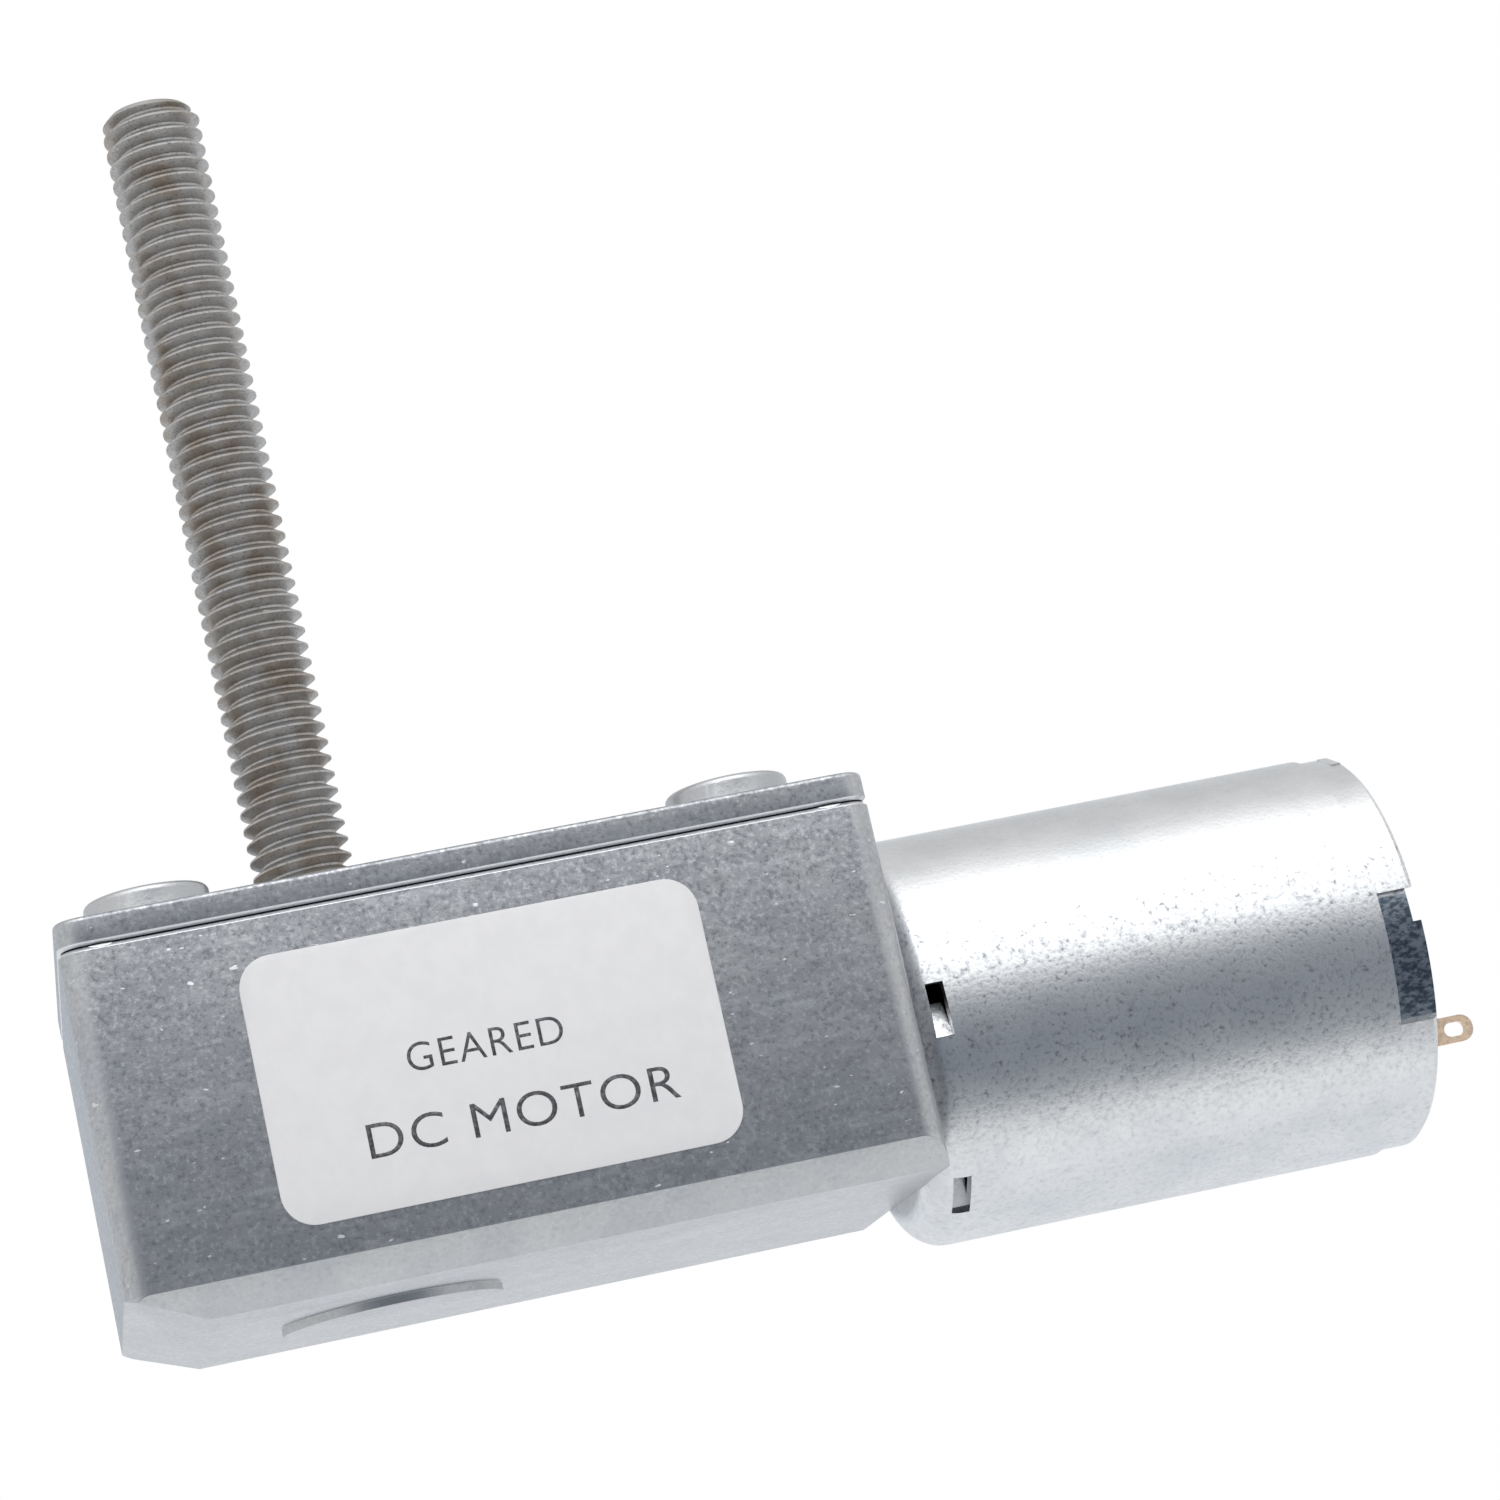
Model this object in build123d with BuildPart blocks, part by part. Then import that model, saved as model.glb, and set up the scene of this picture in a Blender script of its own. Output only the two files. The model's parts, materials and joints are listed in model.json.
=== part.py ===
from build123d import *
import os
from math import acos, atan2, cos, degrees, hypot, pi, radians, sin, sqrt, tan

os.makedirs("parts", exist_ok=True)

# A right-angle gearmotor with a threaded output shaft, in millimetres.
# The origin is on the output shaft's axis, in the plane of the gearbox cover's outer face.
# +Z runs out along the threaded shaft, and +X along the motor towards its terminals.

# ---------------------------------------------------------------- driving dimensions

# gearbox
box_left = -15.4
box_length = 46.4
box_width = 32.0
box_bottom = -23.0
cover_thickness = 1.7
bevel_top = -21.2
side_bevel = 1.6
end_bevel = 4.4
corner_round = 1.5
wall = 1.9
end_wall = 2.3
floor_top = -21.1
seam_chamfer = 0.25

# fixing bosses on the cover
boss_spacing_x = 34.0
boss_spacing_y = 18.0
boss_centre_x = 7.2
boss_radius = 3.6
boss_height = 1.8
m3_radius = 1.5
m3_depth = 3.0

# cover screws
m2_radius = 1.0
m2_head_radius = 1.9
m2_length = 8.0
cover_screw_inset = 2.4
pillar_radius = 2.3
recess_width = 0.5
recess_span = 2.6
cover_recess_span = 2.0
recess_depth = 0.7

# threaded output shaft
thread_radius = 3.0
thread_pitch = 1.0
thread_low = 2.2
shaft_top = 51.6
shaft_end_chamfer = 0.6
journal_radius = 2.5
shaft_shoulder = -17.25
shaft_bottom = -22.3
collar_radius = 5.5
collar_height = 1.2
output_bush_radius = 4.5
lower_bush_radius = 3.5
lower_bush_top = -17.9
foot_radius = 6.5
foot_height = 0.5
foot_floor = -22.6
seat_flat = 2.5
output_hub_radius = 4.5
ring_groove_depth = 0.4
ring_radius = 4.2
ring_opening = 1.6
thrust_washer = (4.6, 0.5)
running_gap = 0.02

# gear train
worm_module = 0.5
wheel_teeth = 20
fine_module = 0.4
output_module = 0.5
pinion_teeth = 10
gear_teeth = 36
output_teeth = 40
backlash = 0.14
pressure_angle = radians(20)
gear_shaft_radius = 1.0
small_bush_radius = 2.0
small_bush_low = (-21.9, -19.5)
small_bush_high = (-3.4, -1.5)
bearing_boss_wall = 1.0
shaft_hub_radius = 1.7
wheel_hub_radius = 2.4
washer_radius = 1.8
washer_thickness = 0.3
washer_gap = 0.1

# motor
motor_z = -13.9
can_radius = 12.2
can_wall = 0.8
can_rear = 62.4
front_plate = 1.0
front_round = 2.2
nose_radius = 3.1
nose_length = 1.6
motor_bush_radius = 2.4
motor_screw_y = 8.0
m26_radius = 1.3
m26_head_radius = 2.2
m26_head_height = 1.5
window_angles = (0, 57, 180, 123)
window_x = 33.0
window_size = (1.05, 3.2)
lance_size = (1.05, 0.4, 2.4)
lance_lean = -28
crimp_angles = (20, 110, 200, 290)
crimp_size = (0.6, 1.2, 2.6)
cap_x = (60.3, 61.5)
cup_end = 63.4
cup_wall = 0.5
band_start = 60.0
band_step = 0.2
band_pocket = (-30, 8)
band_pocket_depth = 0.3
rim_notch = (-1.6, 8.7)
rim_notch_length = 0.5
motor_shaft_radius = 1.15
magnet_radius = 8.6
magnet_span = 130
magnet_x = (35.6, 54.0)
core_radius = 8.0
core_x = (38.5, 52.0)
neck_width = 2.8
hub_radius = 2.8
terminal_y = 5.9
terminal_z = 6.4
terminal_tip = 65.8
terminal_root = 56.2
terminal_hole_x = 64.65
terminal_hole = (1.3, 0.85)
terminal_width = 1.6
terminal_thickness = 0.4
terminal_block = (2.0, 3.4)

# ---------------------------------------------------------------- derived places

box_right = box_left + box_length
box_centre = box_left + box_length / 2
half_width = box_width / 2
cover_under = -cover_thickness
cavity_left = box_left + end_wall
cavity_right = box_right - wall
cavity_half = half_width - wall
can_bore = can_radius - can_wall
can_inside = box_right + front_plate

worm_radius = 3.0
worm_pitch_radius = 2.5
worm_lead = pi * worm_module
wheel_radius = worm_module * wheel_teeth / 2
fine_distance = fine_module * (pinion_teeth + gear_teeth) / 2
output_distance = output_module * (pinion_teeth + output_teeth) / 2


def meeting_point(first, second, reach):
    """The point at the same distance from two axes, on the output shaft's side of them."""
    middle = ((first[0] + second[0]) / 2, (first[1] + second[1]) / 2)
    span = hypot(second[0] - first[0], second[1] - first[1])
    rise = sqrt(reach**2 - (span / 2) ** 2)
    across = ((second[1] - first[1]) / span, (first[0] - second[0]) / span)
    return (middle[0] + rise * across[0], middle[1] + rise * across[1])


def bearing_angle(start, end):
    """The direction from one axis to another, in degrees."""
    return degrees(atan2(end[1] - start[1], end[0] - start[0]))


axis_out = (0.0, 0.0)
axis_1 = (20.6, worm_pitch_radius + wheel_radius)
axis_3_angle = -21.5
axis_3 = (output_distance * cos(radians(axis_3_angle)), output_distance * sin(radians(axis_3_angle)))
axis_2 = meeting_point(axis_1, axis_3, fine_distance)
gear_axes = (axis_1, axis_2, axis_3)

wheel_z = (motor_z - 2.0, motor_z + 2.0)
gear_2_z = (-9.2, -7.0)
gear_3_z = (-6.4, -4.4)
output_gear_z = (-16.2, -12.2)
upper_washer = (small_bush_high[0] - washer_gap - washer_thickness, small_bush_high[0] - washer_gap)
lower_washer = (small_bush_low[1] + washer_gap, small_bush_low[1] + washer_gap + washer_thickness)


def write(builder, name):
    """Label a finished piece and write its STEP file."""
    builder.part.label = name
    export_step(builder.part, f"parts/{name}.step")


def level(height):
    """The horizontal plane at a height."""
    return Plane.XY.offset(height)


def station(x):
    """The plane across the motor at x, centred on its axis: local x is +Y and local y is +Z."""
    return Plane(origin=(x, 0, motor_z), x_dir=(0, 1, 0), z_dir=(1, 0, 0))


def tube(plane, length, outer, inner, places=((0, 0),)):
    """Rings extruded from a plane into the current part."""
    with BuildSketch(plane) as rings:
        with Locations(*places):
            Circle(outer)
            Circle(inner, mode=Mode.SUBTRACT)
    extrude(rings.sketch, amount=length)


def sector(plane, length, outer, inner, centre, span, mode=Mode.ADD):
    """An arc-shaped block extruded from a plane."""
    reach = 2 * outer
    left = radians(centre - span / 2)
    right = radians(centre + span / 2)
    with BuildSketch(plane) as arc:
        Circle(outer)
        Circle(inner, mode=Mode.SUBTRACT)
        with BuildLine():
            Polyline(
                (0, 0),
                (reach * cos(left), reach * sin(left)),
                (reach * cos(radians(centre)), reach * sin(radians(centre))),
                (reach * cos(right), reach * sin(right)),
                close=True,
            )
        make_face(mode=Mode.INTERSECT)
    extrude(arc.sketch, amount=length, mode=mode)


def gear_outline(module, teeth, turn, tip=1.0, root=1.25):
    """Corner points of a spur gear with involute flanks, one tooth centred on the angle turn."""
    pitch_radius = module * teeth / 2
    base_radius = pitch_radius * cos(pressure_angle)
    tip_radius = pitch_radius + tip * module
    root_radius = pitch_radius - root * module
    low_radius = max(base_radius, root_radius)
    radii = (low_radius, (low_radius + tip_radius) / 2, tip_radius)

    def half_angle(radius):
        lean = acos(min(1.0, base_radius / radius))
        thickness = (pi * module - backlash) / (4 * pitch_radius)
        return thickness + tan(pressure_angle) - pressure_angle - tan(lean) + lean

    flank = [(root_radius, half_angle(low_radius))] + [(r, half_angle(r)) for r in radii]
    if low_radius == root_radius:
        flank = flank[1:]
    points = []
    for tooth in range(teeth):
        centre = radians(turn) + 2 * pi * tooth / teeth
        for radius, half in flank:
            points.append((radius * cos(centre - half), radius * sin(centre - half)))
        for radius, half in reversed(flank):
            points.append((radius * cos(centre + half), radius * sin(centre + half)))
    return points


def gear_sketch(plane, axis, module, teeth, turn):
    """A gear's outline on a plane, centred on an axis."""
    with BuildSketch(plane) as toothed:
        with BuildLine():
            corners = [(x + axis[0], y + axis[1]) for x, y in gear_outline(module, teeth, turn)]
            Polyline(*corners, close=True)
        make_face()
    return toothed.sketch


def thread_groove(radius, lead, length, mouth, floor, depth):
    """The metal that a thread cutter takes out: a groove winding up +Z from the +X side."""
    with BuildPart() as groove:
        with BuildLine() as path:
            Helix(lead, length, radius)
        with BuildSketch(Plane(origin=path.line @ 0, x_dir=(1, 0, 0), z_dir=path.line % 0)):
            overshoot = 0.05
            Polygon(
                (overshoot, mouth / 2),
                (-depth, floor / 2),
                (-depth, -floor / 2),
                (overshoot, -mouth / 2),
                align=None,
            )
        sweep(is_frenet=True)
    return groove.part


# ---------------------------------------------------------------- gearbox shell

screw_places = [
    (x, y)
    for x in (box_left + cover_screw_inset, box_right - cover_screw_inset)
    for y in (-half_width + cover_screw_inset, half_width - cover_screw_inset)
]
boss_places = [
    (boss_centre_x + side * boss_spacing_x / 2, end * boss_spacing_y / 2)
    for side in (-1, 1)
    for end in (-1, 1)
]
motor_screw_places = ((-motor_screw_y, 0), (motor_screw_y, 0))
terminal_places = ((-terminal_y, -terminal_z), (terminal_y, terminal_z))

# Housing: a die-cast trough, bevelled along the bottom of its two sides and its free end.
with BuildPart() as housing:
    with BuildSketch(level(box_bottom)):
        with Locations((box_centre, 0)):
            RectangleRounded(box_length, box_width, corner_round)
    extrude(amount=cover_under - box_bottom)
    chamfer(housing.faces().sort_by(Axis.Z)[-1].edges(), seam_chamfer)
    with BuildSketch(Plane.YZ.offset(box_centre)):
        Polygon(
            (half_width, bevel_top),
            (half_width, box_bottom),
            (half_width - side_bevel, box_bottom),
            align=None,
        )
        mirror(about=Plane.YZ)
    extrude(amount=box_length, both=True, mode=Mode.SUBTRACT)
    with BuildSketch(Plane.XZ):
        Polygon(
            (box_left, bevel_top),
            (box_left + end_bevel, box_bottom),
            (box_left, box_bottom),
            align=None,
        )
    extrude(amount=box_width, both=True, mode=Mode.SUBTRACT)
    with BuildSketch(level(floor_top)):
        with Locations(((cavity_left + cavity_right) / 2, 0)):
            RectangleRounded(cavity_right - cavity_left, 2 * cavity_half, 1.0)
    extrude(amount=cover_under - floor_top, mode=Mode.SUBTRACT)
    with BuildSketch(level(floor_top)):
        with Locations(*screw_places):
            Circle(pillar_radius)
    extrude(amount=cover_under - floor_top)
    with BuildSketch(level(floor_top)):
        Circle(collar_radius)
    extrude(amount=lower_bush_top - floor_top)
    with BuildSketch(level(floor_top)):
        with Locations(*gear_axes):
            Circle(small_bush_radius + bearing_boss_wall)
    extrude(amount=small_bush_low[1] - floor_top)
    with BuildSketch(level(box_bottom)):
        Circle(foot_radius)
    extrude(amount=-foot_height)
    with BuildSketch(level(foot_floor)):
        Circle(lower_bush_radius)
    extrude(amount=lower_bush_top - foot_floor, mode=Mode.SUBTRACT)
    with BuildSketch(level(small_bush_low[0])):
        with Locations(*gear_axes):
            Circle(small_bush_radius)
    extrude(amount=small_bush_low[1] - small_bush_low[0], mode=Mode.SUBTRACT)
    with BuildSketch(level(cover_under - m2_length)):
        with Locations(*screw_places):
            Circle(m2_radius)
    extrude(amount=m2_length, mode=Mode.SUBTRACT)
    with BuildSketch(station(cavity_right - 1)):
        Circle(nose_radius)
        with Locations(*motor_screw_places):
            Circle(m26_radius)
    extrude(amount=wall + 2, mode=Mode.SUBTRACT)
write(housing, "gearbox_housing")

# Cover: a flat plate with four tapped bosses, a collar round the shaft and bearing bosses inside.
with BuildPart() as cover:
    with BuildSketch(level(cover_under)):
        with Locations((box_centre, 0)):
            RectangleRounded(box_length, box_width, corner_round)
    extrude(amount=cover_thickness)
    fillet(cover.faces().sort_by(Axis.Z)[-1].edges(), 0.3)
    chamfer(cover.faces().sort_by(Axis.Z)[0].edges(), seam_chamfer)
    with BuildSketch(level(0)):
        with Locations(*boss_places):
            Circle(boss_radius)
    extrude(amount=boss_height)
    rims = cover.edges().filter_by(GeomType.CIRCLE).group_by(Axis.Z)[-1]
    fillet(rims, 0.4)
    with BuildSketch(level(0)):
        Circle(collar_radius)
    extrude(amount=collar_height)
    with BuildSketch(level(cover_under)):
        Circle(collar_radius)
        with Locations(*gear_axes):
            Circle(small_bush_radius + bearing_boss_wall)
    extrude(amount=small_bush_high[0] - cover_under)
    with BuildSketch(level(small_bush_high[0])):
        Circle(output_bush_radius)
    extrude(amount=collar_height - small_bush_high[0], mode=Mode.SUBTRACT)
    with BuildSketch(level(small_bush_high[0])):
        with Locations(*gear_axes):
            Circle(small_bush_radius)
    extrude(amount=small_bush_high[1] - small_bush_high[0], mode=Mode.SUBTRACT)
    with BuildSketch(level(boss_height - m3_depth)):
        with Locations(*boss_places):
            Circle(m3_radius)
    extrude(amount=m3_depth, mode=Mode.SUBTRACT)
    with Locations(*[Location((x, y, 0)) for x, y in screw_places]):
        CounterSinkHole(m2_radius, m2_head_radius, depth=cover_thickness, counter_sink_angle=90)
write(cover, "gearbox_cover")

# Cover screws: countersunk, with a cross recess.
with BuildPart() as cover_screws:
    with BuildSketch(level(-m2_length)):
        with Locations(*screw_places):
            Circle(m2_radius)
    extrude(amount=m2_length)
    with Locations(*[Location((x, y, m2_radius - m2_head_radius)) for x, y in screw_places]):
        Cone(
            m2_radius,
            m2_head_radius,
            m2_head_radius - m2_radius,
            align=(Align.CENTER, Align.CENTER, Align.MIN),
        )
    with Locations(*[Location((x, y, 0)) for x, y in screw_places]):
        Box(cover_recess_span, recess_width, 2 * recess_depth, mode=Mode.SUBTRACT)
        Box(recess_width, cover_recess_span, 2 * recess_depth, mode=Mode.SUBTRACT)
write(cover_screws, "cover_screws")

# Label: a thin sheet with rounded corners on the long side face.
label_width = 26.05
label_height = 15.2
label_centre = (6.93, -11.72)
label_corner = 1.9
label_thickness = 0.1
label_plane = Plane(
    origin=(label_centre[0], -half_width, label_centre[1]),
    x_dir=(1, 0, 0),
    z_dir=(0, -1, 0),
)
with BuildPart() as label:
    with BuildSketch(label_plane):
        RectangleRounded(label_width, label_height, label_corner)
    extrude(amount=label_thickness)
write(label, "label")

# ---------------------------------------------------------------- gearbox bearings

with BuildPart() as upper_bush:
    tube(
        level(small_bush_high[0]),
        collar_height - small_bush_high[0],
        output_bush_radius,
        thread_radius + running_gap,
    )
write(upper_bush, "output_bush_upper")

with BuildPart() as lower_bush:
    tube(
        level(foot_floor),
        lower_bush_top - foot_floor,
        lower_bush_radius,
        journal_radius + running_gap,
    )
write(lower_bush, "output_bush_lower")

for name, (low, high) in (("gear_bushes_lower", small_bush_low), ("gear_bushes_upper", small_bush_high)):
    with BuildPart() as bushes:
        tube(level(low), high - low, small_bush_radius, gear_shaft_radius + running_gap, gear_axes)
    write(bushes, name)

# ---------------------------------------------------------------- output shaft

output_turn = bearing_angle(axis_out, axis_3) + 180 / output_teeth
ring_grooves = ((-16.8, -16.3), (-9.8, -9.3), (-4.05, -3.55))
blank_top = shaft_top + 2.4
screw_groove = thread_groove(thread_radius, thread_pitch, shaft_top - thread_low + 1, 0.94, 0.14, 0.61)

# Lead screw: threaded above the cover, a plain journal in the bushes, and a flat for the gear.
with BuildPart() as lead_screw:
    with BuildSketch(level(shaft_shoulder)):
        Circle(thread_radius)
    extrude(amount=blank_top - shaft_shoulder)
    add(screw_groove.moved(Location((0, 0, thread_low))), mode=Mode.SUBTRACT)
    with BuildSketch(Plane.XZ):
        with BuildLine():
            Polyline(
                (0, shaft_top),
                (thread_radius - shaft_end_chamfer, shaft_top),
                (thread_radius + 0.2, shaft_top - shaft_end_chamfer - 0.2),
                (thread_radius + 1, shaft_top - shaft_end_chamfer - 0.2),
                (thread_radius + 1, blank_top + 1),
                (0, blank_top + 1),
                close=True,
            )
        make_face()
    revolve(axis=Axis.Z, mode=Mode.SUBTRACT)
    with BuildSketch(level(shaft_bottom)):
        Circle(journal_radius)
    extrude(amount=shaft_shoulder - shaft_bottom)
    with BuildSketch(level(output_gear_z[0])):
        with Locations((0, seat_flat + 1)):
            Rectangle(8, 2)
    extrude(amount=output_gear_z[1] - output_gear_z[0], mode=Mode.SUBTRACT)
    for low, high in ring_grooves:
        with BuildSketch(level(low)):
            Circle(thread_radius + 1)
            Circle(thread_radius - ring_groove_depth, mode=Mode.SUBTRACT)
        extrude(amount=high - low, mode=Mode.SUBTRACT)
write(lead_screw, "lead_screw")

with BuildPart() as output_gear:
    toothed_face = gear_sketch(level(output_gear_z[0]), axis_out, output_module, output_teeth, output_turn)
    extrude(toothed_face, amount=output_gear_z[1] - output_gear_z[0])
    with BuildSketch(level(output_gear_z[1])):
        Circle(output_hub_radius)
    extrude(amount=ring_grooves[1][0] - output_gear_z[1])
    with BuildSketch(level(output_gear_z[0])):
        Circle(thread_radius)
        with Locations((0, seat_flat + 1)):
            Rectangle(8, 2, mode=Mode.SUBTRACT)
    extrude(amount=output_gear_z[1] - output_gear_z[0], mode=Mode.SUBTRACT)
    with BuildSketch(level(output_gear_z[1])):
        Circle(thread_radius)
    extrude(amount=ring_grooves[1][0] - output_gear_z[1], mode=Mode.SUBTRACT)
write(output_gear, "output_gear")

# Retaining rings: open snap rings in the shaft's three grooves.
with BuildPart() as retaining_rings:
    for low, high in ring_grooves:
        with BuildSketch(level(low)):
            Circle(ring_radius)
            Circle(thread_radius - ring_groove_depth, mode=Mode.SUBTRACT)
            with Locations((-ring_radius, 0)):
                Rectangle(ring_radius, ring_opening, mode=Mode.SUBTRACT)
        extrude(amount=high - low)
write(retaining_rings, "retaining_rings")

with BuildPart() as output_washer:
    tube(level(lower_bush_top + washer_gap), thrust_washer[1], thrust_washer[0], journal_radius)
write(output_washer, "output_thrust_washer")

# ---------------------------------------------------------------- gear shafts

shaft_ends = (small_bush_low[0] + 0.2, small_bush_high[1] - 0.2)
for number, axis in enumerate(gear_axes, start=1):
    with BuildPart() as gear_shaft:
        with BuildSketch(level(shaft_ends[0])):
            with Locations(axis):
                Circle(gear_shaft_radius)
        extrude(amount=shaft_ends[1] - shaft_ends[0])
        chamfer(gear_shaft.edges().filter_by(GeomType.CIRCLE), 0.15)
    write(gear_shaft, f"gear_shaft_{number}")

    with BuildPart() as washers:
        for washer_low in (upper_washer[0], lower_washer[0]):
            tube(level(washer_low), washer_thickness, washer_radius, gear_shaft_radius, (axis,))
    write(washers, f"shaft_{number}_washers")

# Worm wheel: helical teeth to suit the worm, with a hub down to the lower washer.
wheel_twist = degrees((wheel_z[1] - wheel_z[0]) * tan(worm_module / (2 * worm_pitch_radius)) / wheel_radius)
with BuildPart() as worm_wheel:
    low_face = gear_sketch(level(wheel_z[0]), axis_1, worm_module, wheel_teeth, -wheel_twist / 2)
    high_face = gear_sketch(level(wheel_z[1]), axis_1, worm_module, wheel_teeth, wheel_twist / 2)
    loft([low_face, high_face], ruled=True)
    with BuildSketch(level(lower_washer[1])):
        with Locations(axis_1):
            Circle(wheel_hub_radius)
    extrude(amount=wheel_z[0] - lower_washer[1])
    with BuildSketch(level(lower_washer[1])):
        with Locations(axis_1):
            Circle(gear_shaft_radius)
    extrude(amount=wheel_z[1] - lower_washer[1], mode=Mode.SUBTRACT)
write(worm_wheel, "worm_wheel")


def spur_gear(name, axis, module, teeth, turn, toothed, hub=None):
    """A spur gear between two heights, with an optional plain hub, bored for its shaft."""
    with BuildPart() as gear:
        toothed_face = gear_sketch(level(toothed[0]), axis, module, teeth, turn)
        extrude(toothed_face, amount=toothed[1] - toothed[0])
        if hub:
            with BuildSketch(level(hub[0])):
                with Locations(axis):
                    Circle(shaft_hub_radius)
            extrude(amount=hub[1] - hub[0])
        with BuildSketch(level(floor_top)):
            with Locations(axis):
                Circle(gear_shaft_radius)
        extrude(amount=-floor_top, mode=Mode.SUBTRACT)
    write(gear, name)


half_gear_step = 180 / gear_teeth
turn_12 = bearing_angle(axis_1, axis_2)
turn_23 = bearing_angle(axis_2, axis_3)
turn_3o = bearing_angle(axis_3, axis_out)
hub_top = upper_washer[0]
spur_gear("pinion_1", axis_1, fine_module, pinion_teeth, turn_12, (wheel_z[1], -6.8), (-6.8, hub_top))
spur_gear("gear_2", axis_2, fine_module, gear_teeth, turn_12 + 180 + half_gear_step, gear_2_z)
spur_gear("pinion_2", axis_2, fine_module, pinion_teeth, turn_23, (gear_2_z[1], -4.2), (-4.2, hub_top))
spur_gear(
    "gear_3",
    axis_3,
    fine_module,
    gear_teeth,
    turn_23 + 180 + half_gear_step,
    gear_3_z,
    (gear_3_z[1], hub_top),
)
spur_gear(
    "pinion_3",
    axis_3,
    output_module,
    pinion_teeth,
    turn_3o,
    output_gear_z,
    (lower_washer[1], output_gear_z[0]),
)

with BuildPart() as spacer:
    spacer_height = gear_2_z[0] - lower_washer[1]
    tube(level(lower_washer[1]), spacer_height, shaft_hub_radius, gear_shaft_radius, (axis_2,))
write(spacer, "shaft_2_spacer")

# ---------------------------------------------------------------- motor shell

# Can: deep-drawn steel, with windows near its front and a stepped rear band crimped on the end cap.
# The band has a shallow pocket on the -Y side, with a notch in the rim above it.
with BuildPart() as motor_can:
    with BuildSketch(station(box_right)):
        Circle(can_radius)
    extrude(amount=can_rear - box_right)
    fillet(motor_can.edges().sort_by(Axis.X)[0], front_round)
    with BuildSketch(station(band_start)):
        Circle(can_radius + 1)
        Circle(can_radius - band_step, mode=Mode.SUBTRACT)
    extrude(amount=can_rear - band_start, mode=Mode.SUBTRACT)
    chamfer(motor_can.edges().sort_by(Axis.X)[-1], 0.3)
    with BuildSketch(station(can_inside)):
        Circle(can_bore)
    extrude(amount=can_rear - can_inside, mode=Mode.SUBTRACT)
    with BuildSketch(station(box_right)):
        Circle(nose_radius)
    extrude(amount=-nose_length)
    with BuildSketch(station(box_right - nose_length)):
        Circle(motor_bush_radius)
    extrude(amount=nose_length + front_plate, mode=Mode.SUBTRACT)
    with BuildSketch(station(box_right)):
        with Locations(*motor_screw_places):
            Circle(m26_radius)
    extrude(amount=front_plate, mode=Mode.SUBTRACT)
    for angle in window_angles:
        spot = Location((window_x, 0, motor_z), (angle, 0, 0))
        with Locations(spot * Location((0, -can_radius, 0))):
            Box(window_size[0], 4, window_size[1], mode=Mode.SUBTRACT)
        with Locations(spot * Location((0, -can_bore - 0.1, -window_size[1] / 2), (lance_lean, 0, 0))):
            Box(*lance_size, align=(Align.CENTER, Align.CENTER, Align.MIN))
    for angle in crimp_angles:
        crimp = Location((cap_x[1], 0, motor_z), (angle, 0, 0)) * Location((0, -can_bore, 0))
        with Locations(crimp):
            Box(*crimp_size, align=(Align.MIN, Align.CENTER, Align.CENTER))
    for start, span, floor in (
        (band_start, band_pocket, can_radius - band_step - band_pocket_depth),
        (can_rear - rim_notch_length, rim_notch, can_bore),
    ):
        middle = 180 - (span[0] + span[1]) / 2
        width = span[1] - span[0]
        sector(station(start), can_rear - start, can_radius + 1, floor, middle, width, Mode.SUBTRACT)
write(motor_can, "motor_can")

# End cap: a pressed disc with the rear bearing's cup and two slots for the terminals.
with BuildPart() as end_cap:
    with BuildSketch(station(cap_x[0])):
        Circle(can_bore)
    extrude(amount=cap_x[1] - cap_x[0])
    with BuildSketch(station(cap_x[1])):
        Circle(nose_radius)
    extrude(amount=cup_end - cap_x[1])
    fillet(end_cap.edges().sort_by(Axis.X)[-1], 0.5)
    with BuildSketch(station(cap_x[0])):
        Circle(motor_bush_radius)
    extrude(amount=cup_end - cup_wall - cap_x[0], mode=Mode.SUBTRACT)
    with BuildSketch(station(cap_x[0])):
        with Locations(*terminal_places):
            Rectangle(*terminal_block)
    extrude(amount=cap_x[1] - cap_x[0], mode=Mode.SUBTRACT)
write(end_cap, "motor_end_cap")

with BuildPart() as front_bush:
    bush_start = box_right - nose_length
    bush_length = nose_length + front_plate + 0.5
    tube(station(bush_start), bush_length, motor_bush_radius, motor_shaft_radius + running_gap)
write(front_bush, "motor_bush_front")

with BuildPart() as rear_bush:
    rear_bush_length = cup_end - cup_wall - cap_x[0]
    tube(station(cap_x[0]), rear_bush_length, motor_bush_radius, motor_shaft_radius + running_gap)
write(rear_bush, "motor_bush_rear")

with BuildPart() as motor_screws:
    with BuildSketch(station(cavity_right)):
        with Locations(*motor_screw_places):
            Circle(m26_radius)
    extrude(amount=wall + front_plate + 0.8)
    with BuildSketch(station(cavity_right)):
        with Locations(*motor_screw_places):
            Circle(m26_head_radius)
    extrude(amount=-m26_head_height)
    fillet(motor_screws.edges().group_by(Axis.X)[0], 0.4)
    with BuildSketch(station(cavity_right - m26_head_height)):
        with Locations(*motor_screw_places):
            Rectangle(recess_span, recess_width)
            Rectangle(recess_width, recess_span)
    extrude(amount=recess_depth, mode=Mode.SUBTRACT)
write(motor_screws, "motor_screws")

# ---------------------------------------------------------------- magnets and brushes

for name, centre in (("magnet_upper", 90), ("magnet_lower", -90)):
    with BuildPart() as magnet:
        magnet_length = magnet_x[1] - magnet_x[0]
        sector(station(magnet_x[0]), magnet_length, can_bore, magnet_radius, centre, magnet_span)
    write(magnet, name)

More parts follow.
